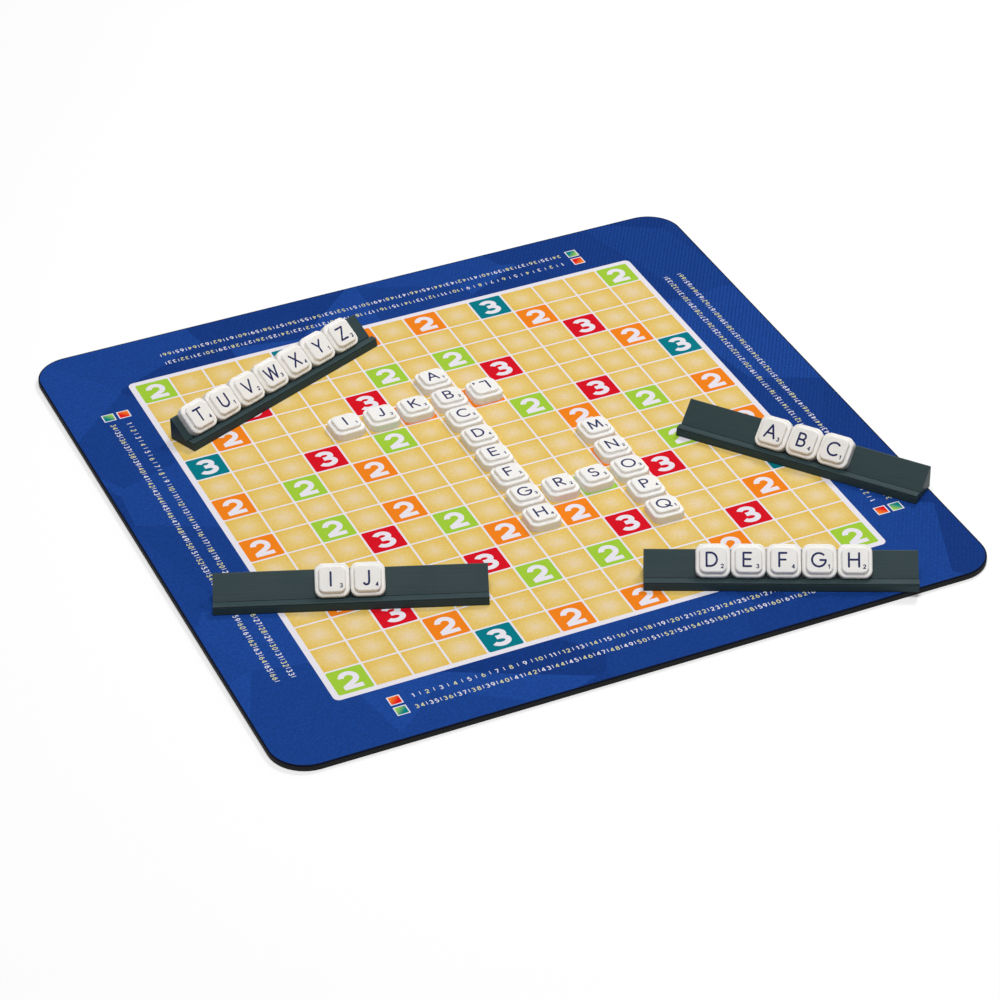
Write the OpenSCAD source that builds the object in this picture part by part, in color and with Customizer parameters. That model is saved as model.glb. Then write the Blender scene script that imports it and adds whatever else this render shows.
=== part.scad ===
// Word tile game laid out for play: a cloth faced rubber mat, four tile racks and thirty-six tiles.
// Millimetres. The origin is the middle of the mat's underside, +X runs to the right along the
// board's rows, +Y runs up the board and +Z points up.

/* [Mat] */
// Width of the mat along the rows
mat_width = 294; // [280:1:330]
// Depth of the mat up the board
mat_depth = 290; // [280:1:330]
// Radius of the mat's corners
mat_corner_r = 15; // [4:0.5:30]
// Thickness of the rubber under the cloth
rubber_t = 2; // [1:0.1:4]
// Thickness of the printed cloth
cloth_t = 0.4; // [0.2:0.1:1]

/* [Board] */
// Distance from one printed square to the next
square_pitch = 15; // [14.2:0.1:16.5]
// Squares along each side of the board
squares = 15; // [15:2:17]

/* [Tile] */
// Width of a tile
tile_w = 13.2; // [12:0.1:13.8]
// Radius of a tile's corners, seen from above
tile_corner_r = 3.2; // [2:0.1:4.5]
// Height of the tile's lower step
tile_wall_h = 3.4; // [2.6:0.1:5]
// Rounding round the top of the lower step
tile_edge_r = 0.7; // [0.2:0.05:1]
// Width of the raised step that carries the letter
step_w = 10.2; // [8.5:0.1:11.2]
// Radius of the raised step's corners
step_corner_r = 2.3; // [1.4:0.1:3.5]
// Height of the raised step above the lower one
step_h = 1.4; // [0.6:0.1:2]
// Rounding round the top of the raised step
step_edge_r = 0.6; // [0.2:0.05:0.7]
// Hollow rounding at the foot of the raised step
step_foot_r = 0.5; // [0.2:0.05:0.7]
// Thickness of the tile's walls and roof round the hollow underside
tile_shell_t = 1.3; // [0.9:0.1:1.6]

/* [Rack] */
// Length of a rack
rack_length = 104; // [100:1:120]
// Depth of a rack from front to back
rack_depth = 13.9; // [12:0.1:16]
// Height of a rack
rack_height = 9.8; // [9:0.1:13]
// Width of the narrow flat along the top
rack_top_w = 0.7; // [0.6:0.05:1.5]
// Slope of the face that the tiles lean on, from the flat
face_angle = 40; // [36:0.5:46]
// Height of the lip along the front
lip_height = 3.7; // [3:0.1:4.5]
// Reach of the ledge under the tiles, square to the sloping face
ledge_reach = 1.6; // [1:0.1:2.2]
// How far the front of the lip leans back
lip_lean = 0.6; // [0:0.1:1]
// Radius of the relief groove in the corner under the tiles
relief_r = 0.5; // [0.2:0.05:0.7]
// Radius of the fine groove along the front, just under the lip's edge
front_groove_r = 0.25; // [0.1:0.05:0.3]
// Rounding along the rack's long edges
rack_edge_r = 0.3; // [0.1:0.05:0.3]
// Thickness of the rack's walls round the hollow underside
rack_wall_t = 1.4; // [1:0.1:1.6]
// Thickness of the ribs across the hollow underside
rib_t = 1.2; // [0.8:0.1:2]
// Ribs across the hollow underside of each rack
rib_count = 4; // [2:1:6]

/* [Fit] */
// Gap between neighbouring tiles on a rack
tile_gap = 0.2; // [0.1:0.05:0.5]

/* [Layout] */
// Upper left rack: its front middle in from the mat's left side
rack_a_side = 89.1; // [82:0.1:98]
// Upper left rack: its front middle in from the mat's far side
rack_a_end = 67.8; // [58:0.1:75]
// Turn of the upper left rack
rack_a_angle = 22.8; // [15:0.1:30]
// Right rack: its front middle in from the mat's right side
rack_b_side = 41.9; // [34:0.1:48]
// Right rack: its front middle in from the mat's near side
rack_b_end = 89.1; // [83:0.1:97]
// Turn of the right rack
rack_b_angle = -52.4; // [-60:0.1:-45]
// Lower right rack: its front middle in from the mat's right side
rack_c_side = 84.1; // [75:0.1:92]
// Lower right rack: its front middle in from the mat's near side
rack_c_end = 20.3; // [15:0.1:30]
// Turn of the lower right rack
rack_c_angle = -25.6; // [-32:0.1:-18]
// Lower left rack: its front middle in from the mat's left side
rack_d_side = 58.4; // [50:0.1:66]
// Lower left rack: its front middle in from the mat's near side
rack_d_end = 78.4; // [70:0.1:87]
// Turn of the lower left rack
rack_d_angle = -21.5; // [-28:0.1:-15]

/* [Hidden] */
$fn = 48;
mat_top = rubber_t + cloth_t;
cut = 1; // how far a cut runs past the surface that it opens
arc_steps = 4; // straight pieces in a small rounded corner

// Columns of a row in the board tile list
COL = 0;
ROW = 1;
SHIFT_X = 2;
SHIFT_Y = 3;
TURN = 4;
// The tiles on the board: column and row of the square, counted from the lower left one, then how
// far each was set down beside the square's middle and how far it is turned
board_tiles = [
    [7, 11, -0.5, 0.3, 2], [7, 10, 0.1, 0, -1], [7, 9, 0, 0.2, 1], [7, 8, 0.2, -0.1, 0],
    [7, 7, 0.1, 0, -1], [7, 6, 0, 0.1, 1], [7, 5, -0.1, 0, 0], [7, 4, 0, 0, -1],
    [4, 10, -0.2, 0.1, 2], [5, 10, 0.1, -0.2, -1], [6, 10, -0.1, 0, 1], [8, 10, 0.6, 0.2, 181],
    [10, 7, -0.2, 0.2, 1], [10, 6, 0.1, 0, -1], [10, 5, 0.2, 0.1, 0], [10, 4, 0.1, 0, -1],
    [10, 3, 0.6, -0.3, -2], [8, 5, 0.1, 0.1, -1], [9, 5, -0.1, 0.2, 2]
];

// Columns of a row in the rack list
NAME = 0;
PLACE = 1;
ANGLE = 2;
COUNT = 3;
SLIDE = 4;
// The racks: name, front middle on the mat, turn, number of tiles, and how far the row of tiles
// stands to the right of the rack's middle
racks = [
    ["rack_a", [rack_a_side - mat_width / 2, mat_depth / 2 - rack_a_end], rack_a_angle, 7, -1.9],
    ["rack_b", [mat_width / 2 - rack_b_side, rack_b_end - mat_depth / 2], rack_b_angle, 3, 0.5],
    ["rack_c", [mat_width / 2 - rack_c_side, rack_c_end - mat_depth / 2], rack_c_angle, 5, 1],
    ["rack_d", [rack_d_side - mat_width / 2, rack_d_end - mat_depth / 2], rack_d_angle, 2, -0.2]
];

// Hollow rounding at the foot of the raised step, as far as the lower step leaves room for it
foot_r = min(step_foot_r, (tile_w - step_w) / 2 - tile_edge_r);

// The seat is the corner where the ledge meets the sloping face
seat_z = lip_height - ledge_reach * cos(face_angle);
face_top_y = rack_depth - rack_top_w;
seat_y = face_top_y - (rack_height - seat_z) / tan(face_angle);
ledge_tip_y = seat_y - ledge_reach * sin(face_angle);
// The fine groove lies this far under the lip's edge
groove_drop = 2.5 * front_groove_r;

// Points of an arc that rounds the corner b, between the points a and c, by the radius r
function rounded_corner(a, b, c, r) =
    let (
        to_a = (a - b) / norm(a - b),
        to_c = (c - b) / norm(c - b),
        half_angle = acos(to_a * to_c) / 2,
        middle = b + (to_a + to_c) / norm(to_a + to_c) * r / sin(half_angle),
        start = b + to_a * r / tan(half_angle) - middle,
        side = cross(to_a, to_c) > 0 ? -1 : 1,
        sweep = side * (180 - 2 * half_angle)
    )
    [for (i = [0:arc_steps])
        let (turn = sweep * i / arc_steps)
        middle + [start[0] * cos(turn) - start[1] * sin(turn), start[0] * sin(turn) + start[1] * cos(turn)]];

// An outline from corners of the form [point, radius], where the radius 0 leaves the corner sharp
function rounded_outline(corners) =
    let (n = len(corners))
    [for (i = [0:n - 1])
        let (corner = corners[i], before = corners[(i + n - 1) % n][0], after = corners[(i + 1) % n][0])
        each corner[1] > 0 ? rounded_corner(before, corner[0], after, corner[1]) : [corner[0]]];

// A rectangle with round corners, in the middle of its plane
module round_rect(w, d, r) {
    square([w, d - 2 * r], center = true);
    square([w - 2 * r, d], center = true);
    for (x = [-1, 1], y = [-1, 1])
        translate([x * (w / 2 - r), y * (d / 2 - r)]) circle(r);
}

// Half section of a slab with a rounded upper edge, from a corner's centre out to the wall. Where a
// foot radius is given, the wall meets what it stands on, at the height foot_z, in a hollow rounding
module edge_section(r, h, edge_r, foot_z, foot_r) {
    square([r, h - edge_r]);
    square([r - edge_r, h]);
    translate([r - edge_r, h - edge_r]) circle(edge_r);
    if (foot_r > 0) difference() {
        square([r + foot_r, foot_z + foot_r]);
        translate([r + foot_r, foot_z + foot_r]) circle(foot_r);
    }
}

// A square slab whose corners and upper edge are round: each corner is a turned quarter of the edge
// section, and the sides are the same section drawn straight
module soft_slab(w, r, h, edge_r, foot_z = 0, foot_r = 0) {
    reach = w / 2 - r;
    translate([-reach, -reach, 0]) cube([2 * reach, 2 * reach, h]);
    for (quarter = [0:90:270]) rotate([0, 0, quarter]) translate([reach, reach, 0]) {
        rotate_extrude(angle = 90) edge_section(r, h, edge_r, foot_z, foot_r);
        rotate([90, 0, 0]) linear_extrude(2 * reach) edge_section(r, h, edge_r, foot_z, foot_r);
    }
}

// One moulded tile on its underside: two soft steps outside and a hollow in two steps below
module tile() {
    roof_z = tile_wall_h - tile_shell_t;
    color("ivory") difference() {
        union() {
            soft_slab(tile_w, tile_corner_r, tile_wall_h, tile_edge_r);
            soft_slab(step_w, step_corner_r, tile_wall_h + step_h, step_edge_r, tile_wall_h, foot_r);
        }
        translate([0, 0, -cut]) linear_extrude(cut + roof_z)
            round_rect(tile_w - 2 * tile_shell_t, tile_w - 2 * tile_shell_t, tile_corner_r - tile_shell_t);
        translate([0, 0, -cut]) linear_extrude(cut + roof_z + step_h)
            round_rect(step_w - 2 * tile_shell_t, step_w - 2 * tile_shell_t, step_corner_r - tile_shell_t);
    }
}

// Section of a rack seen from its right end: front at 0, back at rack_depth, underside at 0
module rack_section() {
    difference() {
        polygon(rounded_outline([
            [[0, 0], rack_edge_r],
            [[lip_lean, lip_height], 2 * rack_edge_r],
            [[ledge_tip_y, lip_height], rack_edge_r],
            [[seat_y, seat_z], 0],
            [[face_top_y, rack_height], rack_edge_r],
            [[rack_depth, rack_height], rack_edge_r],
            [[rack_depth, 0], rack_edge_r]
        ]));
        translate([seat_y, seat_z]) circle(relief_r);
        translate([lip_lean * (1 - groove_drop / lip_height), lip_height - groove_drop])
            circle(front_groove_r);
    }
}

// Section of the hollow under a rack, one wall inside the sloping face and the back
module hollow_section() {
    roof_drop = rack_wall_t / cos(face_angle);
    back_y = rack_depth - rack_wall_t;
    front_y = seat_y - (seat_z - roof_drop) / tan(face_angle);
    roof_z = (back_y - front_y) * tan(face_angle);
    polygon([[front_y, 0], [back_y, 0], [back_y, roof_z]]);
    translate([front_y, -cut]) square([back_y - front_y, cut]);
}

// One rack, standing on the mat with its front middle at the origin
module rack() {
    bay = (rack_length - 2 * rack_wall_t - rib_count * rib_t) / (rib_count + 1);
    color("darkslategray") difference() {
        translate([-rack_length / 2, 0, 0]) rotate([90, 0, 90]) linear_extrude(rack_length) rack_section();
        for (i = [0:rib_count])
            translate([-rack_length / 2 + rack_wall_t + i * (bay + rib_t), 0, 0])
                rotate([90, 0, 90]) linear_extrude(bay) hollow_section();
    }
}

// Puts its children where a rack stands on the mat
module on_mat(rack_row) {
    translate([rack_row[PLACE][0], rack_row[PLACE][1], mat_top]) rotate([0, 0, rack_row[ANGLE]]) children();
}

// Puts its children at a tile's place on a rack: back on the sloping face, lower side on the ledge
module on_rack(rack_row, i) {
    along = rack_row[SLIDE] + (i - (rack_row[COUNT] + 1) / 2) * (tile_w + tile_gap);
    on_mat(rack_row) translate([along, seat_y, seat_z]) rotate([face_angle, 0, 0])
        translate([0, tile_w / 2, 0]) children();
}

// Puts its children at a tile's place on the board
module on_board(row) {
    middle = (squares - 1) / 2;
    translate([
        (row[COL] - middle) * square_pitch + row[SHIFT_X],
        (row[ROW] - middle) * square_pitch + row[SHIFT_Y],
        mat_top
    ]) rotate([0, 0, row[TURN]]) children();
}

module mat_base() {
    color("black") linear_extrude(rubber_t) round_rect(mat_width, mat_depth, mat_corner_r);
}

module mat_cloth() {
    color("royalblue") translate([0, 0, rubber_t]) linear_extrude(cloth_t)
        round_rect(mat_width, mat_depth, mat_corner_r);
}

mat_base();
mat_cloth();
for (rack_row = racks)
    on_mat(rack_row) rack();
for (i = [1:len(board_tiles)])
    on_board(board_tiles[i - 1]) tile();
for (rack_row = racks, i = [1:rack_row[COUNT]])
    on_rack(rack_row, i) tile();
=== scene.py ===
# Looks of a travel word tile game: a cloth faced rubber mat with its printed board, four racks and
# thirty six tiles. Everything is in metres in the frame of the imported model, sizes below in millimetres.
import math

import bpy
import numpy as np
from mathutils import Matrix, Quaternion, Vector


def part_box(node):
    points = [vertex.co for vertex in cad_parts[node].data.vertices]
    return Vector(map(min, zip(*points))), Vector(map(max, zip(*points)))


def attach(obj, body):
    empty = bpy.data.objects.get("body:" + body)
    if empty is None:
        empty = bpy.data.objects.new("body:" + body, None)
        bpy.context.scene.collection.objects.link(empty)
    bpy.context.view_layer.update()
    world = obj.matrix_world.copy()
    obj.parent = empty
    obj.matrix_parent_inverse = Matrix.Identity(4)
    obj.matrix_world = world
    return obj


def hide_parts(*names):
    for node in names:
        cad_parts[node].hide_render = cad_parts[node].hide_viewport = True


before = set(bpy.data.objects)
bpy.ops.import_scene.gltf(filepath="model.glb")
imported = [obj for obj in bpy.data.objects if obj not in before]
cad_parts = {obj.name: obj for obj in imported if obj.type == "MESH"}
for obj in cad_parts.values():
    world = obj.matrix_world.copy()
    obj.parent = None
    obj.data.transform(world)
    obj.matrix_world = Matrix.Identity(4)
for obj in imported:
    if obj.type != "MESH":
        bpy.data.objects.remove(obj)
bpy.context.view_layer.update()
mm = 0.001
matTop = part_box("mat_cloth")[1].z / mm  # top of the printed cloth
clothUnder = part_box("mat_cloth")[0].z / mm


# Small tools for colours, nodes and meshes

# A colour as it shows on a screen, 0 to 255, as the linear colour that a shader takes.
def tone(red, green, blue):
    shown = np.array([red, green, blue]) / 255
    linear = np.where(shown <= 0.04045, shown / 12.92, ((shown + 0.055) / 1.055) ** 2.4)
    return (*linear.tolist(), 1.0)


# One shader node: settings are its own choices, inputs are values or the sockets to link.
def add(tree, kind, inputs=None, **settings):
    made = tree.nodes.new("ShaderNode" + kind)
    for key, value in settings.items():
        setattr(made, key, value)
    for key, value in (inputs or {}).items():
        if isinstance(value, bpy.types.NodeSocket):
            tree.links.new(value, made.inputs[key])
        else:
            made.inputs[key].default_value = value
    return made


# One step of arithmetic on numbers or sockets.
def calc(tree, operation, first, second=0.0, third=0.0):
    return add(tree, "Math", {0: first, 1: second, 2: third}, operation=operation).outputs[0]


# Blends two colours, by a share from 0 to 1.
def mixTones(tree, share, first, second):
    made = add(tree, "Mix", {0: share, 6: first, 7: second}, data_type="RGBA")
    return made.outputs[2]


# Colours placed along a value: each stop is its place and its colour.
def ramp(tree, share, *stops):
    made = add(tree, "ValToRGB", {0: share})
    band = made.color_ramp
    while len(band.elements) < len(stops):
        band.elements.new(0.5)
    for element, (place, colour) in zip(band.elements, stops):
        element.position = place
        element.color = colour
    return made.outputs[0]


# Cloudy noise from 0 to 1, with its scale in repeats to the millimetre.
def noise(tree, place, scale, detail=2.0, uneven=0.5):
    made = add(tree, "TexNoise", {"Vector": place, "Scale": scale, "Detail": detail, "Roughness": uneven})
    return made.outputs[0]


# A material with its shader and a place in millimetres on Object coordinates.
def newMaterial(name, specular, roughness=0.5):
    made = bpy.data.materials.new(name)
    made.use_nodes = True
    tree = made.node_tree
    tree.nodes.clear()
    shader = add(tree, "BsdfPrincipled", {"Roughness": roughness, "Specular IOR Level": specular})
    output = add(tree, "OutputMaterial")
    tree.links.new(shader.outputs[0], output.inputs[0])
    spot = add(tree, "TexCoord").outputs["Object"]
    place = add(tree, "VectorMath", {0: spot, 1: (1 / mm, 1 / mm, 1 / mm)}, operation="MULTIPLY").outputs[0]
    return made, tree, shader, place


# Links sockets to the shader's inputs, with an underscore where the input's name has a space.
def feed(tree, shader, **sockets):
    for name, socket in sockets.items():
        tree.links.new(socket, shader.inputs[name.replace("_", " ")])


# A roughness that goes from smooth to rough with clouds of noise, which lie mostly from 0.3 to 0.7.
def roughness(tree, clouds, smooth, rough):
    return add(tree, "MapRange", {0: clouds, 1: 0.3, 2: 0.7, 3: smooth, 4: rough}).outputs[0]


# A bump of that depth in millimetres.
def bump(tree, height, depth, below=None):
    inputs = {"Height": height, "Strength": 1.0, "Distance": depth * mm}
    if below is not None:
        inputs["Normal"] = below
    return add(tree, "Bump", inputs).outputs[0]


# A piece from its points in millimetres and its faces, riding on a body of the frame.
def addPiece(name, points, faces, material, body, smooth=False):
    mesh = bpy.data.meshes.new(name)
    mesh.from_pydata((np.asarray(points) * mm).tolist(), [], faces)
    mesh.polygons.foreach_set("use_smooth", np.full(len(faces), smooth))
    mesh.materials.append(material)
    mesh.update()
    piece = bpy.data.objects.new(name, mesh)
    bpy.context.scene.collection.objects.link(piece)
    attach(piece, body)
    return piece


# Flat shapes: strokes, plates and rounded squares

# A straight stroke between two points.
def bar(x0, y0, x1, y1):
    return np.array([[x0, y0], [x1, y1]], float)


# A stroke along an ellipse: middle plus (across cos a, up sin a), from one angle to another.
def bow(x, y, across, up, start, end, step=9):
    angle = np.radians(np.linspace(start, end, max(3, round(abs(end - start) / step)) + 1))
    return np.stack([x + across * np.cos(angle), y + up * np.sin(angle)], 1)


# Strokes that run on from one to the next, as one stroke.
def join(*paths):
    return np.concatenate([paths[0]] + [path[1:] for path in paths[1:]])


roundSteps = 3     # points on each side of a stroke's round end
bluntness = 0.25   # radians that a round end lacks, so that its tip is a short edge
inkStep = 0.0015   # mm from one stroke's top to the next


# Both sides of a stroke are its path moved half a width along its normal. At a round end the path
# runs on by half a width times cos t while the half width falls as sin t. A path that ends where it
# starts becomes a ring. Closed above, below and all round, from the height low to the height high.
def strokePrism(path, width, low, high, roundEnds=True):
    ring = np.allclose(path[0], path[-1])
    if ring:
        path = path[:-1]
        along = np.roll(path, -1, 0) - np.roll(path, 1, 0)
    else:
        along = np.gradient(path, axis=0)
    along /= np.linalg.norm(along, axis=1)[:, None]
    half = np.full(len(path), width / 2)
    if roundEnds and not ring:
        t = np.linspace(bluntness, np.pi / 2, roundSteps + 1)[:-1]
        reach, narrow = np.cos(t)[:, None] * width / 2, np.sin(t) * width / 2
        path = np.concatenate([path[:1] - along[:1] * reach, path, path[-1:] + along[-1:] * reach[::-1]])
        half = np.concatenate([narrow, half, narrow[::-1]])
        before, after = along[:1].repeat(roundSteps, 0), along[-1:].repeat(roundSteps, 0)
        along = np.concatenate([before, along, after])
    normal = np.stack([-along[:, 1], along[:, 0]], 1)
    left, right = path + normal * half[:, None], path - normal * half[:, None]
    count = len(path)
    flat = np.concatenate([left, right, left, right])
    heights = np.repeat([low, high], 2 * count)
    i = np.arange(count if ring else count - 1)
    j = (i + 1) % count
    faces = [
        np.stack([i + 3 * count, j + 3 * count, j + 2 * count, i + 2 * count], 1),
        np.stack([i, j, j + count, i + count], 1),
        np.stack([i + count, j + count, j + 3 * count, i + 3 * count], 1),
        np.stack([j, i, i + 2 * count, j + 2 * count], 1),
    ]
    if not ring:
        last = 2 * count - 1
        faces.append([[0, count, 3 * count, 2 * count], [last, count - 1, last + count, last + 2 * count]])
    return np.column_stack([flat, heights]), np.concatenate(faces)


# Flat plates: each row of outlines holds the same number of corners, counted anticlockwise.
def platePrisms(outlines, low, high):
    plates, corners = outlines.shape[:2]
    flat = np.concatenate([outlines, outlines], 1).reshape(-1, 2)
    heights = np.tile(np.repeat([low, high], corners), plates)
    first = (np.arange(plates) * 2 * corners)[:, None]
    lower = first + np.arange(corners)
    upper = lower + corners
    sides = np.stack([lower, np.roll(lower, -1, 1), np.roll(upper, -1, 1), upper], 2).reshape(-1, 4)
    faces = lower[:, ::-1].tolist() + upper.tolist() + sides.tolist()
    return np.column_stack([flat, heights]), faces


# An outline whose corners are quarter circles about (width/2 - radius, depth/2 - radius).
def roundedSquare(width, depth, radius, steps=8):
    angle = np.radians(np.concatenate([np.linspace(q, q + 90, steps + 1) for q in (0, 90, 180, 270)]))
    side = np.repeat([[1, 1], [-1, 1], [-1, -1], [1, -1]], steps + 1, 0)
    middle = side * (np.array([width, depth]) / 2 - radius)
    return middle + radius * np.stack([np.cos(angle), np.sin(angle)], 1)


# Points of a plane turned about its origin and then moved to a middle.
def turned(flat, degrees, middle=(0, 0)):
    angle = math.radians(degrees)
    spin = np.array([[math.cos(angle), math.sin(angle)], [-math.sin(angle), math.cos(angle)]])
    return flat @ spin + np.array(middle)


# Joins the points and faces of several parts into one mesh.
def gather(parts):
    points, faces, count = [], [], 0
    for somePoints, someFaces in parts:
        points.append(somePoints)
        faces += (np.asarray(someFaces) + count).tolist()
        count += len(somePoints)
    return np.concatenate(points), faces


# Strokes as prisms, each a hair higher than the one before, so that no two tops coincide.
def inked(paths, stroke, low, high, roundEnds=True):
    return gather([strokePrism(path, stroke, low, high + k * inkStep, roundEnds)
                   for k, path in enumerate(paths)])


# Characters as strokes, one unit high: the width of each and its strokes, with a point every step
# degrees along their arcs.
def makeGlyphs(step):
    def arc(*place):
        return bow(*place, step)
    return {
        "A": (0.8, [bar(0, 0, 0.4, 1), bar(0.8, 0, 0.4, 1), bar(0.14, 0.34, 0.66, 0.34)]),
        "B": (0.58, [bar(0, 0, 0, 1),
                     join(bar(0, 1, 0.28, 1), arc(0.28, 0.76, 0.25, 0.24, 90, -90), bar(0.28, 0.52, 0, 0.52)),
                     join(bar(0, 0.52, 0.3, 0.52), arc(0.3, 0.26, 0.28, 0.26, 90, -90), bar(0.3, 0, 0, 0))]),
        "C": (0.8, [arc(0.5, 0.5, 0.5, 0.5, 48, 312)]),
        "D": (0.75, [bar(0, 0, 0, 1),
                     join(bar(0, 1, 0.27, 1), arc(0.27, 0.5, 0.48, 0.5, 90, -90), bar(0.27, 0, 0, 0))]),
        "E": (0.55, [bar(0, 0, 0, 1), bar(0, 1, 0.55, 1), bar(0, 0.52, 0.5, 0.52), bar(0, 0, 0.55, 0)]),
        "F": (0.52, [bar(0, 0, 0, 1), bar(0, 1, 0.52, 1), bar(0, 0.5, 0.46, 0.5)]),
        "G": (0.92, [join(arc(0.5, 0.5, 0.5, 0.5, 48, 350), bar(0.99, 0.42, 0.99, 0.48)),
                     bar(0.6, 0.48, 0.99, 0.48)]),
        "H": (0.74, [bar(0, 0, 0, 1), bar(0.74, 0, 0.74, 1), bar(0, 0.52, 0.74, 0.52)]),
        "I": (0.02, [bar(0.01, 0, 0.01, 1)]),
        "J": (0.4, [join(bar(0.4, 1, 0.4, 0.22), arc(0.2, 0.22, 0.2, 0.22, 0, -150))]),
        "K": (0.62, [bar(0, 0, 0, 1), bar(0, 0.38, 0.58, 1), bar(0.2, 0.6, 0.62, 0)]),
        "L": (0.5, [bar(0, 0, 0, 1), bar(0, 0, 0.5, 0)]),
        "M": (0.9, [bar(0, 0, 0.08, 1), bar(0.08, 1, 0.45, 0.12), bar(0.45, 0.12, 0.82, 1),
                    bar(0.82, 1, 0.9, 0)]),
        "N": (0.74, [bar(0, 0, 0, 1), bar(0, 1, 0.74, 0), bar(0.74, 0, 0.74, 1)]),
        "O": (1.0, [arc(0.5, 0.5, 0.5, 0.5, 90, 450)]),
        "P": (0.56, [bar(0, 0, 0, 1),
                     join(bar(0, 1, 0.28, 1), arc(0.28, 0.73, 0.28, 0.27, 90, -90),
                          bar(0.28, 0.46, 0, 0.46))]),
        "Q": (1.0, [arc(0.5, 0.5, 0.5, 0.5, 90, 450), bar(0.6, 0.26, 0.95, -0.06)]),
        "R": (0.6, [bar(0, 0, 0, 1),
                    join(bar(0, 1, 0.28, 1), arc(0.28, 0.74, 0.27, 0.26, 90, -90), bar(0.28, 0.48, 0, 0.48)),
                    bar(0.24, 0.48, 0.6, 0)]),
        "S": (0.58, [join(arc(0.3, 0.76, 0.25, 0.24, 35, 270), arc(0.3, 0.26, 0.28, 0.26, 90, -150))]),
        "T": (0.7, [bar(0, 1, 0.7, 1), bar(0.35, 0, 0.35, 1)]),
        "U": (0.7, [join(bar(0, 1, 0, 0.35), arc(0.35, 0.35, 0.35, 0.35, 180, 360), bar(0.7, 0.35, 0.7, 1))]),
        "V": (0.78, [bar(0, 1, 0.39, 0), bar(0.39, 0, 0.78, 1)]),
        "W": (1.12, [bar(0, 1, 0.28, 0), bar(0.28, 0, 0.56, 1), bar(0.56, 1, 0.84, 0),
                     bar(0.84, 0, 1.12, 1)]),
        "X": (0.7, [bar(0, 0, 0.7, 1), bar(0, 1, 0.7, 0)]),
        "Y": (0.7, [bar(0, 1, 0.35, 0.48), bar(0.7, 1, 0.35, 0.48), bar(0.35, 0.48, 0.35, 0)]),
        "Z": (0.66, [bar(0, 1, 0.66, 1), bar(0.66, 1, 0, 0), bar(0, 0, 0.66, 0)]),
        "0": (0.6, [arc(0.3, 0.5, 0.3, 0.5, 90, 450)]),
        "1": (0.3, [bar(0.02, 0.8, 0.28, 1), bar(0.28, 1, 0.28, 0)]),
        "2": (0.58, [join(arc(0.29, 0.71, 0.28, 0.29, 165, -38), bar(0.51, 0.532, 0, 0)),
                     bar(0, 0, 0.58, 0)]),
        "3": (0.58, [arc(0.28, 0.76, 0.25, 0.24, 150, -90), arc(0.28, 0.26, 0.29, 0.26, 90, -150)]),
        "4": (0.62, [bar(0.47, 0, 0.47, 1), bar(0.47, 1, 0, 0.28), bar(0, 0.28, 0.62, 0.28)]),
        "5": (0.56, [bar(0.5, 1, 0.1, 1), bar(0.1, 1, 0.06, 0.56), arc(0.26, 0.31, 0.3, 0.31, 130, -145)]),
        "6": (0.58, [arc(0.29, 0.3, 0.29, 0.3, 90, 450), arc(0.55, 0.32, 0.55, 0.68, 178, 108)]),
        "7": (0.56, [bar(0, 1, 0.56, 1), bar(0.56, 1, 0.18, 0)]),
        "8": (0.58, [arc(0.29, 0.76, 0.23, 0.24, 90, 450), arc(0.29, 0.26, 0.29, 0.26, 90, 450)]),
        "9": (0.58, [arc(0.29, 0.7, 0.29, 0.3, 90, 450), arc(0.03, 0.68, 0.55, 0.68, -2, -72)]),
    }


fineGlyphs, plainGlyphs = makeGlyphs(9), makeGlyphs(30)


# Characters side by side, in the middle of the line that they stand on: each stroke of a glyph
# scaled to the height less one stroke, as prisms.
def written(text, height, stroke, low, high, glyphs=fineGlyphs, roundEnds=True, gap=0.26):
    scale = height - stroke
    widths = [glyphs[character][0] * scale for character in text]
    spaces = gap * height + stroke
    x = -(sum(widths) + spaces * (len(text) - 1)) / 2
    paths = []
    for character, width in zip(text, widths):
        paths += [path * scale + [x, 0] for path in glyphs[character][1]]
        x += width + spaces
    return inked(paths, stroke, low, high, roundEnds)


# The cloth's weave, which the print on it shares
weave = {
    "threads": 0.85,     # mm from thread to thread
    "depth": 0.05,       # mm of relief
    "slubs": 0.9,        # repeats of uneven yarn to the mm
    "crossing": 0.35,    # share of the crossing threads in the relief
    "rough": 0.78,
    "gloss": 0.05,
}


# Threads that pass over and under each other: sin x times sin y on the cloth's plane, a little
# uneven from yarn to yarn.
def weaveHeight(tree, place):
    axes = add(tree, "SeparateXYZ", {0: place})
    turns = 2 * math.pi / weave["threads"]
    waves = [calc(tree, "SINE", calc(tree, "MULTIPLY", axes.outputs[i], turns)) for i in (0, 1)]
    crossing = calc(tree, "MULTIPLY", waves[0], waves[1])
    uneven = noise(tree, place, weave["slubs"], 3.0, 0.6)
    return calc(tree, "MULTIPLY_ADD", crossing, weave["crossing"], uneven)


# Dyed cloth with painted shade: the colour is darker between the threads and lighter on them, following
# the weave's relief, and it also varies where the yarn is uneven. colour is a colour, or a function that
# makes its socket from the tree and the place.
def printedCloth(name, colour, weaveShadeAndSlubs):
    made, tree, shader, place = newMaterial(name, weave["gloss"], weave["rough"])
    height = weaveHeight(tree, place)
    base = colour(tree, place) if callable(colour) else colour[:3]
    # painted shade: the colour follows the weave's height, darker in the hollows between threads and lighter
    # on their tops, with the uneven yarn's own tone in it
    shade = add(tree, "MapRange", {0: height, 1: 0.1, 2: 0.9, 3: 1 - weaveShadeAndSlubs, 4: 1 + weaveShadeAndSlubs}).outputs[0]
    dyed = add(tree, "VectorMath", {0: base, "Scale": shade}, operation="SCALE").outputs[0]
    feed(tree, shader, Base_Color=dyed, Normal=bump(tree, height, weave["depth"]))
    return made


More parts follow.
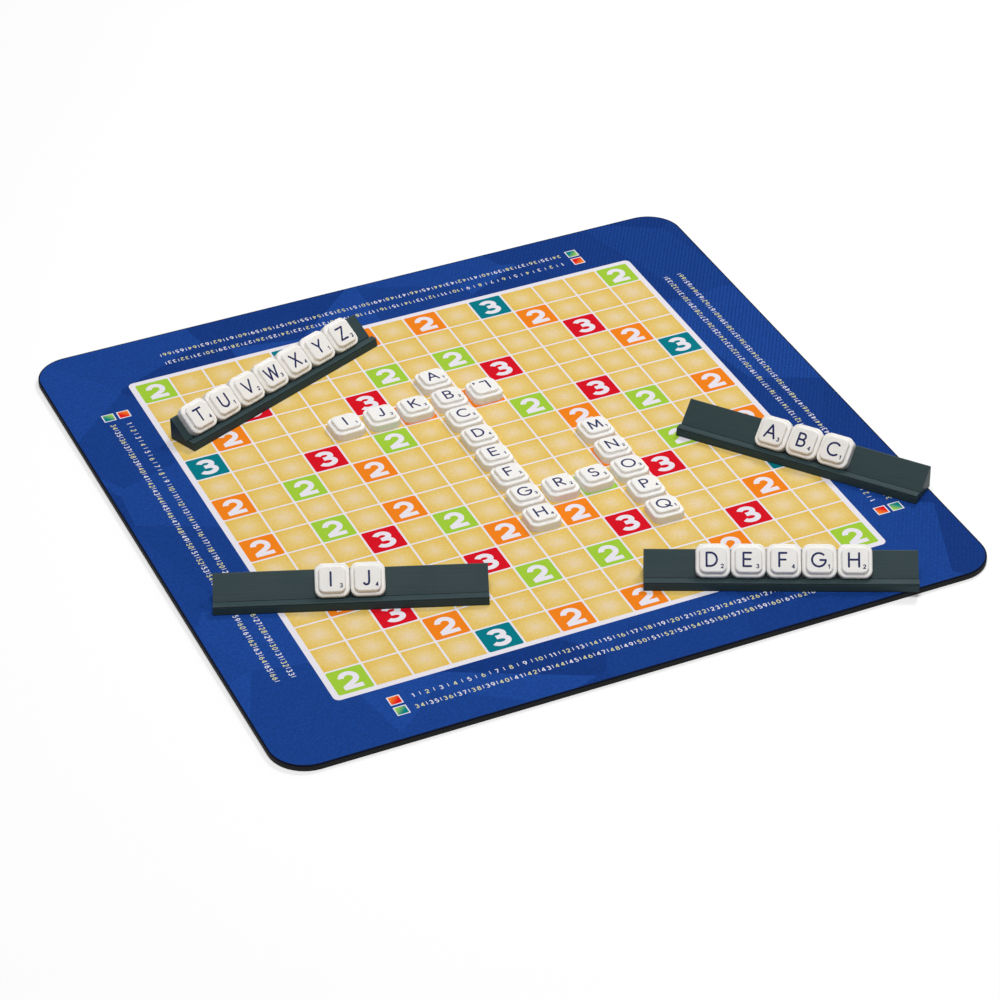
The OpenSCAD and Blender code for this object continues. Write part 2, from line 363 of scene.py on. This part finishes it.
# Mat: black foam rubber under the blue cloth
mat = {
    "blue": tone(22, 62, 136),
    "blueDeep": tone(16, 52, 121),
    "blueLight": tone(27, 70, 149),
    "streakDark": tone(10, 38, 96),
    "rubber": tone(9, 10, 11),
    "cutWidth": 0.6,      # mm of the print that the cut leaves dark
    "cutFade": 0.1,       # mm over which the dark of the cut ends
    "cutEdge": tone(10, 16, 34),
    "rubberWorn": tone(22, 23, 25),
    "rubberGrain": 1.4,   # clouds of the rubber to the mm
    "rubberCells": 3.2,   # cells of the foam to the mm
    "cellDepth": 0.08,
    "rubberRough": 0.85,
    "rubberGloss": 0.3,
    "weaveShadeAndSlubs": 0.38,       # painted shade: how much darker the blue is between its threads and lighter on them, with the uneven yarn
    "facets": 0.021,      # printed facets to the mm
    "streaks": 1.8,       # mm from one fine diagonal streak to the next
    "streakLean": -0.6,
    "streakFade": (50.0, 160.0),  # mm from the middle towards the right, where the streaks fade in
    "streakFadeLean": 0.35,
    "streakShare": 0.55,
    "corner": 15.0,       # mm, radius of the mat's corners
    "cornerSteps": 12,
    "roll": 0.3,          # mm, how far the cut edge of the cloth rolls down
    "rollSteps": 5,
    "innerRings": (6.0, 12.0),  # mm from the edge, where the flat cloth has more rings of points
}


# Blue ground with large printed facets, a shade apart, and fine diagonal streaks that fade in
# towards the right side, soonest at its far corner.
def blueGround(tree, place):
    facet = add(tree, "TexVoronoi", {"Vector": place, "Scale": mat["facets"]}, feature="F1")
    pick = add(tree, "SeparateColor", {0: facet.outputs["Color"]}).outputs[0]
    ground = ramp(tree, pick, (0.0, mat["blueDeep"]), (0.5, mat["blue"]), (1.0, mat["blueLight"]))
    axes = add(tree, "SeparateXYZ", {0: place})
    across = calc(tree, "ADD", axes.outputs[0], calc(tree, "MULTIPLY", axes.outputs[1], mat["streakLean"]))
    streak = calc(tree, "SINE", calc(tree, "MULTIPLY", across, 2 * math.pi / mat["streaks"]))
    lean = calc(tree, "MULTIPLY", axes.outputs[1], mat["streakFadeLean"])
    reach = calc(tree, "ADD", axes.outputs[0], lean)
    start, end = mat["streakFade"]
    fade = add(tree, "MapRange", {0: reach, 1: start, 2: end, 3: 0.0, 4: mat["streakShare"]}).outputs[0]
    share = calc(tree, "MULTIPLY", calc(tree, "MAXIMUM", streak, 0.0), fade)
    printed = mixTones(tree, share, ground, mat["streakDark"])
    cut = add(tree, "Attribute", attribute_name="cut").outputs["Fac"]
    return mixTones(tree, cut, printed, mat["cutEdge"])


# Foam rubber: fine open cells in a matt black.
def rubberFoam():
    made, tree, shader, place = newMaterial("foam_rubber", mat["rubberGloss"], mat["rubberRough"])
    cells = add(tree, "TexVoronoi", {"Vector": place, "Scale": mat["rubberCells"]}, feature="F1")
    grain = noise(tree, place, mat["rubberGrain"], 3.0)
    shade = mixTones(tree, grain, mat["rubber"], mat["rubberWorn"])
    feed(tree, shader, Base_Color=shade, Normal=bump(tree, cells.outputs["Distance"], mat["cellDepth"]))
    return made


# The printed cloth: its outline is a rounded rectangle, and its edge follows a quarter circle,
# inset by roll (1 - cos a) and lowered by roll (1 - sin a), as the cutter leaves it.
def makeCloth(material):
    low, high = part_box("mat_cloth")
    width, depth = (high.x - low.x) / mm, (high.y - low.y) / mm
    angle = np.linspace(0, np.pi / 2, mat["rollSteps"] + 1)
    inner = [mat["cutWidth"], mat["cutWidth"] + mat["cutFade"], *mat["innerRings"]]
    inset = np.concatenate([[0.0], mat["roll"] * (1 - np.cos(angle)), inner])
    height = np.concatenate([[clothUnder], matTop - mat["roll"] * (1 - np.sin(angle)),
                             [matTop] * len(inner)])
    rings = [roundedSquare(width - 2 * d, depth - 2 * d, mat["corner"] - d, mat["cornerSteps"])
             for d in inset]
    count = len(rings[0])
    points = np.concatenate([np.column_stack([ring, np.full(count, z)]) for ring, z in zip(rings, height)])
    start = (np.arange(len(rings) - 1) * count)[:, None] + np.arange(count)
    after = np.roll(start, -1, 1)
    sides = np.stack([start, after, after + count, start + count], 2).reshape(-1, 4).tolist()
    last = (len(rings) - 1) * count
    faces = sides + [list(range(count - 1, -1, -1)), list(range(last, last + count))]
    piece = addPiece("printed_mat_cloth", points, faces, material, "mat", smooth=True)
    cut = piece.data.attributes.new("cut", "FLOAT", "POINT")
    cut.data.foreach_set("value", np.repeat(inset <= mat["cutWidth"], count).astype(np.float32))
    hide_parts("mat_cloth")


makeCloth(printedCloth("mat_cloth_print", blueGround, mat["weaveShadeAndSlubs"]))
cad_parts["mat_base"].data.materials[0] = rubberFoam()
print("mat: cloth and rubber made")


# Board: a white frame with the squares on it, each film a hundredth of a millimetre thick
board = {
    "pitch": 15.0,
    "squares": 15,
    "line": 0.85,          # mm between neighbouring squares
    "margin": 2.0,         # mm of white outside the outermost pitch line
    "corner": 2.4,         # mm, radius of the white frame's corners
    "squareCorner": 0.8,   # mm, radius of the coloured squares' corners
    "film": 0.01,          # mm of printed ink
    "white": tone(232, 228, 236),
    "pale": tone(232, 208, 172),
    "gold": tone(226, 186, 80),
    "straw": tone(229, 200, 122),
    "weaveShadeAndSlubs": 0.05,        # painted shade: how much darker the pale inks are between the threads and lighter on them, with the uneven yarn
    # painted shade of the coloured inks: darker between the threads and lighter on them, with the uneven yarn
    "tintWeaveShadeAndSlubs": 0.07,
}
# The broad 2 and 3, in millimetres and degrees
bold = {
    "height": 10.5,
    "width": 5.6,
    "stroke": 2.3,
    "step": 5,                      # degrees from point to point of an arc
    "bowl": 2.75,                   # half the height of the bowl of the 2
    "bowlEnds": (172, -57),
    "slantEnd": (-0.33, 0.18),      # where the slanting stroke of the 2 ends
    "footStart": 0.2,
    "waist": 4.3,                   # height of the waist of the 3
    "waistLength": 1.0,
    "waistShift": 0.2,              # how far the 3 turns left of its middle, with a wider lower bowl
    "hook": 158,                    # where the two ends of the 3 stop
}
# The fan of streaks on a straw coloured square
fan = {
    "sway": 0.5,          # how far the streaks sway
    "swayScale": 0.25,
    "lanes": 9.0,         # how many streaks there are
    "rings": 3.0,         # how soon a streak changes along its length
    "streaks": 3.0,
    "goldReach": 1.5,     # how soon the pale middle turns golden
    "streakShare": 1.9,
    "specks": 1.8,        # fine specks to the mm
    "speckShare": 0.9,
    "ownShare": 0.14,     # how much one square differs from the next
}
# Coloured squares: number, colour, and the places of one from the middle, repeated by symmetry
bonusKinds = {
    "teal": (3, tone(0, 119, 132), [(7, 3)]),
    "red": (3, tone(213, 16, 34), [(4, 2), (5, 5)]),
    "orange": (2, tone(240, 130, 26), [(6, 4), (7, 1), (3, 1)]),
    "lime": (2, tone(160, 202, 58), [(7, 7), (5, 1), (2, 2)]),
}
squareCorners = ((-0.5, -0.5), (0.5, -0.5), (0.5, 0.5), (-0.5, 0.5))
inkTop = matTop + board["film"]
squareTop = inkTop + board["film"]
numberTop = squareTop + board["film"]


# A straw coloured square: pale in the middle and golden at its sides, with fine streaks that fan
# out from the middle, each square a little different.
def squareGrain(tree, place):
    pitch = board["pitch"]
    counted = add(tree, "VectorMath", {0: place, 1: (pitch, pitch, pitch)}, operation="DIVIDE").outputs[0]
    shifted = add(tree, "VectorMath", {0: counted, 1: (0.5, 0.5, 0)}, operation="ADD").outputs[0]
    number = add(tree, "VectorMath", {0: shifted}, operation="FLOOR").outputs[0]
    inside = add(tree, "VectorMath", {0: counted, 1: number}, operation="SUBTRACT").outputs[0]
    axes = add(tree, "SeparateXYZ", {0: inside})
    x, y = axes.outputs[0], axes.outputs[1]
    radius = add(tree, "VectorMath", {0: add(tree, "CombineXYZ", {0: x, 1: y}).outputs[0]},
                 operation="LENGTH").outputs["Value"]
    sway = calc(tree, "MULTIPLY", noise(tree, place, fan["swayScale"]), fan["sway"])
    lanes = calc(tree, "MULTIPLY", calc(tree, "ADD", calc(tree, "ARCTAN2", y, x), sway), fan["lanes"])
    spread = add(tree, "CombineXYZ", {0: lanes, 1: calc(tree, "MULTIPLY", radius, fan["rings"])})
    own = add(tree, "TexWhiteNoise", {0: number}, noise_dimensions="3D")
    shifts = {0: spread.outputs[0], 1: own.outputs["Color"]}
    lane = add(tree, "VectorMath", shifts, operation="ADD").outputs[0]
    warm = calc(tree, "MULTIPLY", radius, fan["goldReach"])
    for cloud, share in ((noise(tree, lane, fan["streaks"], 3.0, 0.7), fan["streakShare"]),
                         (noise(tree, place, fan["specks"], 3.0, 0.65), fan["speckShare"]),
                         (own.outputs["Value"], fan["ownShare"])):
        warm = calc(tree, "MULTIPLY_ADD", calc(tree, "SUBTRACT", cloud, 0.5), share, warm)
    return ramp(tree, warm, (0.0, board["pale"]), (0.4, board["straw"]), (1.0, board["gold"]))


# The places that one place makes when it is mirrored along, across and over the diagonal.
def symmetric(across, up):
    return {(a * s, b * t) for a, b in ((across, up), (up, across)) for s in (-1, 1) for t in (-1, 1)}


# Thin plates just above the white frame, for the squares at places counted from the middle one:
# rounded where they are coloured, else sharp.
def drawSquares(places, corner):
    side = board["pitch"] - board["line"]
    outline = roundedSquare(side, side, corner, steps=4) if corner else np.array(squareCorners) * side
    outlines = outline[None] + np.array(sorted(places), float)[:, None] * board["pitch"]
    return platePrisms(outlines, inkTop - board["film"] / 2, squareTop)


# The white frame, the plain squares, and each kind of coloured square with its numbers.
def makeBoard():
    side = board["squares"] * board["pitch"] + 2 * board["margin"]
    reach = (board["squares"] - 1) // 2
    white = printedCloth("white_print", board["white"], board["weaveShadeAndSlubs"])
    outline = roundedSquare(side, side, board["corner"])[None]
    points, faces = platePrisms(outline, matTop - board["film"], inkTop)
    addPiece("board_frame_print", points, faces, white, "mat")
    free = {(i, j) for i in range(-reach, reach + 1) for j in range(-reach, reach + 1)}
    numbers = []
    for name, (number, colour, seeds) in bonusKinds.items():
        places = set().union(*(symmetric(*seed) for seed in seeds))
        free -= places
        tint = printedCloth(name + "_print", colour, board["tintWeaveShadeAndSlubs"])
        points, faces = drawSquares(places, board["squareCorner"])
        addPiece(name + "_squares", points, faces, tint, "mat")
        numbers += [boldNumber(number, place) for place in sorted(places)]
    points, faces = drawSquares(free, 0)
    straw = printedCloth("straw_print", squareGrain, board["weaveShadeAndSlubs"])
    addPiece("plain_squares", points, faces, straw, "mat")
    points, faces = gather(numbers)
    addPiece("square_numbers", points, faces, white, "mat")
    return white


# A broad 2 or 3 in the middle of its square: arcs of ellipses that run on into straight strokes,
# cut square at their ends. The bowls of the 3 fill the heights above and below its waist.
def boldNumber(number, place):
    half = bold["stroke"] / 2
    tall, wide, step = bold["height"] - bold["stroke"], bold["width"], bold["step"]
    middle = wide / 2
    if number == 2:
        bowl = bow(middle, tall - bold["bowl"], middle, bold["bowl"], *bold["bowlEnds"], step)
        strokes = [join(bowl, bar(*bowl[-1], *bold["slantEnd"])),
                   bar(bold["footStart"] - half, 0, wide + half, 0)]
    else:
        level, shift = bold["waist"], bold["waistShift"]
        upper, lower, turn = (tall - level) / 2, level / 2, middle - shift
        waist = bar(turn - bold["waistLength"], level, turn, level)
        strokes = [
            join(bow(turn, tall - upper, turn, upper, bold["hook"], -90, step), waist[::-1]),
            join(waist, bow(turn, lower, middle + shift, lower, 90, -bold["hook"], step)),
        ]
    corner = np.array(place) * board["pitch"] - [middle, tall / 2]
    low, high = squareTop - board["film"] / 2, numberTop
    return inked([path + corner for path in strokes], bold["stroke"], low, high, roundEnds=False)


whitePrint = makeBoard()
print("board: squares and numbers printed")


# Border: colour keys and a counting track along each side, read from that side
border = {
    "keySize": 5.1,        # mm, with its white edge
    "keyEdge": 0.45,
    "keyAlong": -94.6,     # mm from the middle of the side
    "keyBlend": (0.1, 0.65),  # share of the diagonal where the second colour starts and is full
    "rows": (-122.9, -129.3),  # mm from the middle of the board to the middle of each row
    "trackStart": -87.5,
    "trackStep": 5.6,
    "trackCount": 33,
    "digitHeight": 2.35,
    "digitStroke": 0.38,
    "tickHeight": 1.9,
    "tickWidth": 0.28,
    "yellow": tone(214, 211, 158),
    "warm": (tone(248, 134, 40), tone(222, 24, 28)),
    "cool": (tone(156, 208, 70), tone(0, 126, 128)),
}


# A printed key that runs from one colour to the other across its diagonal, by its own attribute.
def keyMaterial(name, colours):
    def blended(tree, place):
        share = add(tree, "Attribute", attribute_name="diagonal").outputs["Fac"]
        return ramp(tree, share, *zip(border["keyBlend"], colours))
    return printedCloth(name, blended, board["weaveShadeAndSlubs"])


# The same key on all four sides: a white plate and a coloured one on it.
def makeKeys(name, row, colours):
    size = border["keySize"]
    square = np.array(squareCorners)
    middle = [border["keyAlong"], row]
    plates = [np.array([turned(square * s + middle, -90 * q) for q in range(4)])
              for s in (size, size - 2 * border["keyEdge"])]
    points, faces = platePrisms(plates[0], matTop - board["film"], inkTop)
    addPiece(name + "_key_edges", points, faces, whitePrint, "mat")
    points, faces = platePrisms(plates[1], inkTop - board["film"] / 2, squareTop)
    paint = keyMaterial(name + "_key_print", colours)
    piece = addPiece(name + "_keys", points, faces, paint, "mat")
    share = piece.data.attributes.new("diagonal", "FLOAT", "POINT")
    corner = np.tile(square @ [0.5, -0.5] + 0.5, len(points) // len(square))
    share.data.foreach_set("value", corner.astype(np.float32))


# Numbers in a row, every other one in pale yellow, and the rows on all four sides.
def makeTrack():
    digits = {"white": [], "yellow": []}
    for rowIndex, row in enumerate(border["rows"]):
        for i in range(border["trackCount"]):
            number = rowIndex * border["trackCount"] + i + 1
            points, faces = written(str(number), border["digitHeight"], border["digitStroke"],
                                    matTop - board["film"], inkTop, plainGlyphs, roundEnds=False)
            points[:, :2] += [border["trackStart"] + i * border["trackStep"], row - border["digitHeight"] / 2]
            kind = "yellow" if number % 2 == 0 else "white"
            x = border["trackStart"] + (i + 0.5) * border["trackStep"]
            tick = strokePrism(bar(x, row - border["tickHeight"] / 2, x, row + border["tickHeight"] / 2),
                               border["tickWidth"], matTop - board["film"], inkTop, roundEnds=False)
            for q in range(4):
                for marks, shape in ((digits[kind], (points, faces)), (digits["white"], tick)):
                    spun = shape[0].copy()
                    spun[:, :2] = turned(spun[:, :2], -90 * q)
                    marks.append((spun, shape[1]))
    paints = {"white": whitePrint, "yellow": printedCloth("yellow_print", border["yellow"], board["weaveShadeAndSlubs"])}
    for kind, parts in digits.items():
        points, faces = gather(parts)
        addPiece("track_numbers_" + kind, points, faces, paints[kind], "mat")


makeKeys("warm", border["rows"][0], border["warm"])
makeKeys("cool", border["rows"][1], border["cool"])
makeTrack()
print("border: keys and track printed")


# Racks: dark green grey plastic, moulded, with faint lines along their length
rack = {
    "colour": tone(55, 72, 75),
    "deep": tone(43, 59, 62),
    "rough": (0.36, 0.5),
    "gloss": 0.1,
    "lines": 2.2,        # repeats of the fine lines to the mm
    "drawn": 0.02,       # share of that along the rack
    "lineDepth": 0.02,
    "clouds": 0.06,
    "grain": 6.0,
    "grainDepth": 0.006,
    "turns": {"rack_a": 22.8, "rack_b": -52.4, "rack_c": -25.6, "rack_d": -21.5},  # degrees
}


# Satin plastic: noise drawn out along the rack gives the fine lines, and clouds give the handled
# patches where the gloss differs.
def rackPlastic(name, turn):
    made, tree, shader, place = newMaterial(name + "_plastic", rack["gloss"])
    turnedPlace = add(tree, "Mapping", {"Vector": place, "Rotation": (0, 0, math.radians(-turn))}).outputs[0]
    stretch = (rack["drawn"], 1.0, 1.0)
    drawn = add(tree, "VectorMath", {0: turnedPlace, 1: stretch}, operation="MULTIPLY").outputs[0]
    lines = noise(tree, drawn, rack["lines"], 2.0, 0.6)
    clouds = noise(tree, place, rack["clouds"], 3.0)
    grain = noise(tree, place, rack["grain"])
    feed(
        tree, shader,
        Base_Color=mixTones(tree, lines, rack["deep"], rack["colour"]),
        Roughness=roughness(tree, clouds, *rack["rough"]),
        Normal=bump(tree, lines, rack["lineDepth"], bump(tree, grain, rack["grainDepth"])),
    )
    return made


for name, turn in rack["turns"].items():
    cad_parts[name].data.materials[0] = rackPlastic(name, turn)
print("racks: plastic made")


# Tiles: ivory plastic with a printed letter and number
tile = {
    "ivory": tone(246, 244, 241),
    "shade": tone(239, 236, 231),
    "ink": tone(22, 27, 76),
    "inkThin": tone(34, 39, 92),
    "inkClouds": 2.5,
    "inkRough": 0.5,
    "inkGloss": 0.15,
    "rough": (0.32, 0.46),
    "gloss": 0.45,
    "clouds": 0.12,
    "grain": 5.0,
    "grainDepth": 0.006,
    "glow": 0.12,           # share of light that scatters inside the plastic
    "glowReach": (1.2, 1.0, 0.8),  # mm that red, green and blue light scatters
    "height": 4.8,          # mm from the tile's underside to the top of its step
    "width": 13.2,
    "gap": 0.2,             # mm between neighbours on a rack
    "letterHeight": 6.0,
    "letterStroke": 0.8,
    "letterFoot": -2.6,     # mm from the tile's middle to the foot of its letter
    "letterShift": -0.5,
    "digitHeight": 1.8,
    "digitStroke": 0.36,
    "digitPlace": (3.45, -3.3),
    "inkThickness": 0.02,
}
# Tiles on the board: column and row from the lower left, the shift beside the square and the turn
boardTiles = [
    (7, 11, -0.5, 0.3, 2), (7, 10, 0.1, 0, -1), (7, 9, 0, 0.2, 1), (7, 8, 0.2, -0.1, 0),
    (7, 7, 0.1, 0, -1), (7, 6, 0, 0.1, 1), (7, 5, -0.1, 0, 0), (7, 4, 0, 0, -1),
    (4, 10, -0.2, 0.1, 2), (5, 10, 0.1, -0.2, -1), (6, 10, -0.1, 0, 1), (8, 10, 0.6, 0.2, 181),
    (10, 7, -0.2, 0.2, 1), (10, 6, 0.1, 0, -1), (10, 5, 0.2, 0.1, 0), (10, 4, 0.1, 0, -1),
    (10, 3, 0.6, -0.3, -2), (8, 5, 0.1, 0.1, -1), (9, 5, -0.1, 0.2, 2),
]
# Tiles on racks: the rack's front middle, how many tiles, and how far their row stands to the right
rackRows = {
    "rack_a": ((-57.9, 77.2), 7, -1.9),
    "rack_b": ((105.1, -55.9), 3, 0.5),
    "rack_c": ((62.9, -124.7), 5, 1),
    "rack_d": ((-88.6, -66.6), 2, -0.2),
}
# The rack's section, in degrees and millimetres: its slope, its depth and height, the flat top of
# its back, the height of its lip, and the reach of its ledge square to the slope
seat = {"angle": 40, "depth": 13.9, "height": 9.8, "top": 0.7, "lip": 3.7, "reach": 1.6}


# Moulded plastic: a warm white, a touch deeper in clouds, with a fine satin grain.
def ivoryPlastic():
    made, tree, shader, place = newMaterial("tile_ivory", tile["gloss"])
    clouds = noise(tree, place, tile["clouds"], 3.0)
    grain = noise(tree, place, tile["grain"])
    feed(
        tree, shader,
        Base_Color=mixTones(tree, clouds, tile["ivory"], tile["shade"]),
        Roughness=roughness(tree, clouds, *tile["rough"]),
        Normal=bump(tree, grain, tile["grainDepth"]),
    )
    shader.inputs["Subsurface Weight"].default_value = tile["glow"]
    shader.inputs["Subsurface Radius"].default_value = [reach * mm for reach in tile["glowReach"]]
    shader.inputs["Subsurface Scale"].default_value = 1.0
    return made


# Navy printing ink, a little thin in places.
def inkMaterial():
    made, tree, shader, place = newMaterial("letter_ink", tile["inkGloss"], tile["inkRough"])
    thin = noise(tree, place, tile["inkClouds"])
    feed(tree, shader, Base_Color=mixTones(tree, thin, tile["ink"], tile["inkThin"]))
    return made


# Moves points from a tile's own frame to its place on the board.
def onBoard(points, row):
    column, line, shiftX, shiftY, turn = row
    middle = (board["squares"] - 1) / 2
    place = [(column - middle) * board["pitch"] + shiftX, (line - middle) * board["pitch"] + shiftY]
    return np.column_stack([turned(points[:, :2], turn, place), points[:, 2] + matTop])


# Moves points from a tile's own frame to its place on a rack: the back on the sloping face and the
# lower side on the ledge, which meet at the seat.
def onRack(points, name, i):
    place, count, slide = rackRows[name]
    slope = math.radians(seat["angle"])
    seatZ = seat["lip"] - seat["reach"] * math.cos(slope)
    seatY = seat["depth"] - seat["top"] - (seat["height"] - seatZ) / math.tan(slope)
    along = slide + (i - (count + 1) / 2) * (tile["width"] + tile["gap"])
    up = points[:, 1] + tile["width"] / 2
    y = seatY + up * math.cos(slope) - points[:, 2] * math.sin(slope)
    z = seatZ + up * math.sin(slope) + points[:, 2] * math.cos(slope)
    flat = turned(np.column_stack([points[:, 0] + along, y]), rack["turns"][name], place)
    return np.column_stack([flat, z + matTop])


# One letter with its number, printed on the top of its tile.
def makeLetter(name, letter, number, ink, put):
    low, high = tile["height"] - tile["inkThickness"] / 2, tile["height"] + tile["inkThickness"]
    big = written(letter, tile["letterHeight"], tile["letterStroke"], low, high)
    small = written(str(number), tile["digitHeight"], tile["digitStroke"], low, high)
    big[0][:, :2] += [tile["letterShift"], tile["letterFoot"]]
    small[0][:, :2] += tile["digitPlace"]
    points, faces = gather([big, small])
    addPiece(name + "_letter", put(points), faces, ink, name)


# The alphabet in order over all tiles, with plain numbers from 1 to 4.
def makeTiles():
    ink, ivory = inkMaterial(), ivoryPlastic()
    places = [("board_tile_%d" % (k + 1), lambda points, row=row: onBoard(points, row))
              for k, row in enumerate(boardTiles)]
    for rackName, (_, count, _) in rackRows.items():
        places += [("%s_tile_%d" % (rackName, i), lambda points, n=rackName, i=i: onRack(points, n, i))
                   for i in range(1, count + 1)]
    for k, (name, put) in enumerate(places):
        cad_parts[name].data.materials[0] = ivory
        makeLetter(name, chr(ord("A") + k % 26), 1 + k % 4, ink, put)


makeTiles()
print("tiles: ivory and letters made")


# Studio: pale floor, soft lights and the camera
studio = {
    "floorSide": 6.0,       # m
    "floorDrop": 0.05,      # mm below the mat
    "floor": tone(232, 232, 232),
    "floorLift": 0.225,     # white added for the camera, so that only shadows show on the floor
    "floorNear": 0.35,      # m from the middle, where the floor starts to turn plain white for the camera
    "floorFar": 0.9,
    "world": 0.14,
    "cameraPlace": (-457.68, -1049.16, 802.73),
    "cameraAim": (-8.85, -25.17, 2.4),
    "cameraRoll": -0.872,
    "lens": 126.24,
    "film": 36,
}
# Lamps, in metres and watts
lamps = {
    "overhead": {"place": (-0.1, -0.35, 2.0), "aim": (0, 0, 0), "size": 1.0, "power": 28},
    "back_right": {"place": (0.85, 0.6, 1.15), "aim": (0, 0, 0), "size": 0.35, "power": 7.5},
}


# One where the ray comes from the camera, a gloss or a glass, and zero elsewhere.
def cameraRays(tree):
    path = add(tree, "LightPath")
    seen = calc(tree, "MAXIMUM", path.outputs["Is Camera Ray"], path.outputs["Is Glossy Ray"])
    return calc(tree, "MAXIMUM", seen, path.outputs["Is Transmission Ray"])


# A wide flat floor that the object's shadow falls on. Far from it the camera sees plain white.
def makeFloor():
    side, level = studio["floorSide"], -studio["floorDrop"] * mm
    mesh = bpy.data.meshes.new("floor")
    mesh.from_pydata([(x * side, y * side, level) for x, y in squareCorners], [], [(0, 1, 2, 3)])
    floor = bpy.data.objects.new("floor", mesh)
    bpy.context.scene.collection.objects.link(floor)
    made = bpy.data.materials.new("floor_paper")
    made.use_nodes = True
    tree = made.node_tree
    tree.nodes.clear()
    seen = cameraRays(tree)
    matt = add(tree, "BsdfDiffuse", {"Color": studio["floor"]})
    lift = add(tree, "Emission", {"Strength": calc(tree, "MULTIPLY", seen, studio["floorLift"])})
    near = add(tree, "AddShader", {0: matt.outputs[0], 1: lift.outputs[0]})
    spot = add(tree, "TexCoord").outputs["Object"]
    reach = add(tree, "VectorMath", {0: spot}, operation="LENGTH").outputs["Value"]
    far = add(tree, "MapRange", {0: reach, 1: studio["floorNear"], 2: studio["floorFar"]}).outputs[0]
    plain = add(tree, "Emission", {"Strength": 1.0})
    both = add(tree, "MixShader", {0: calc(tree, "MULTIPLY", seen, far), 1: near.outputs[0],
                                   2: plain.outputs[0]})
    tree.links.new(both.outputs[0], add(tree, "OutputMaterial").inputs[0])
    mesh.materials.append(made)


# Large square lamps, and a world that lights softly but shows white to the camera.
def makeLights():
    for name, choice in lamps.items():
        data = bpy.data.lights.new(name, "AREA")
        data.energy = choice["power"]
        data.size = choice["size"]
        lamp = bpy.data.objects.new(name, data)
        lamp.location = choice["place"]
        lamp.rotation_euler = (Vector(choice["aim"]) - lamp.location).to_track_quat("-Z", "Y").to_euler()
        bpy.context.scene.collection.objects.link(lamp)
    world = bpy.data.worlds.new("studio")
    bpy.context.scene.world = world
    world.use_nodes = True
    tree = world.node_tree
    tree.nodes.clear()
    soft = add(tree, "Background", {"Color": (1, 1, 1, 1), "Strength": studio["world"]})
    shown = add(tree, "Background", {"Color": (1, 1, 1, 1), "Strength": 1.0})
    both = add(tree, "MixShader", {0: cameraRays(tree), 1: soft.outputs[0], 2: shown.outputs[0]})
    tree.links.new(both.outputs[0], add(tree, "OutputWorld").inputs[0])


# The photograph's view: a long lens, square on to its aim and rolled a little.
def makeCamera():
    data = bpy.data.cameras.new("camera")
    data.lens = studio["lens"]
    data.sensor_width = studio["film"]
    camera = bpy.data.objects.new("camera", data)
    camera.location = Vector(studio["cameraPlace"]) * mm
    aim = (Vector(studio["cameraAim"]) * mm - camera.location).to_track_quat("-Z", "Y")
    roll = Quaternion((0, 0, 1), math.radians(studio["cameraRoll"]))
    camera.rotation_mode = "QUATERNION"
    camera.rotation_quaternion = aim @ roll
    bpy.context.scene.collection.objects.link(camera)
    bpy.context.scene.camera = camera


makeFloor()
makeLights()
makeCamera()
bpy.context.scene.view_settings.view_transform = "Standard"
print("studio: floor, lights and camera placed")
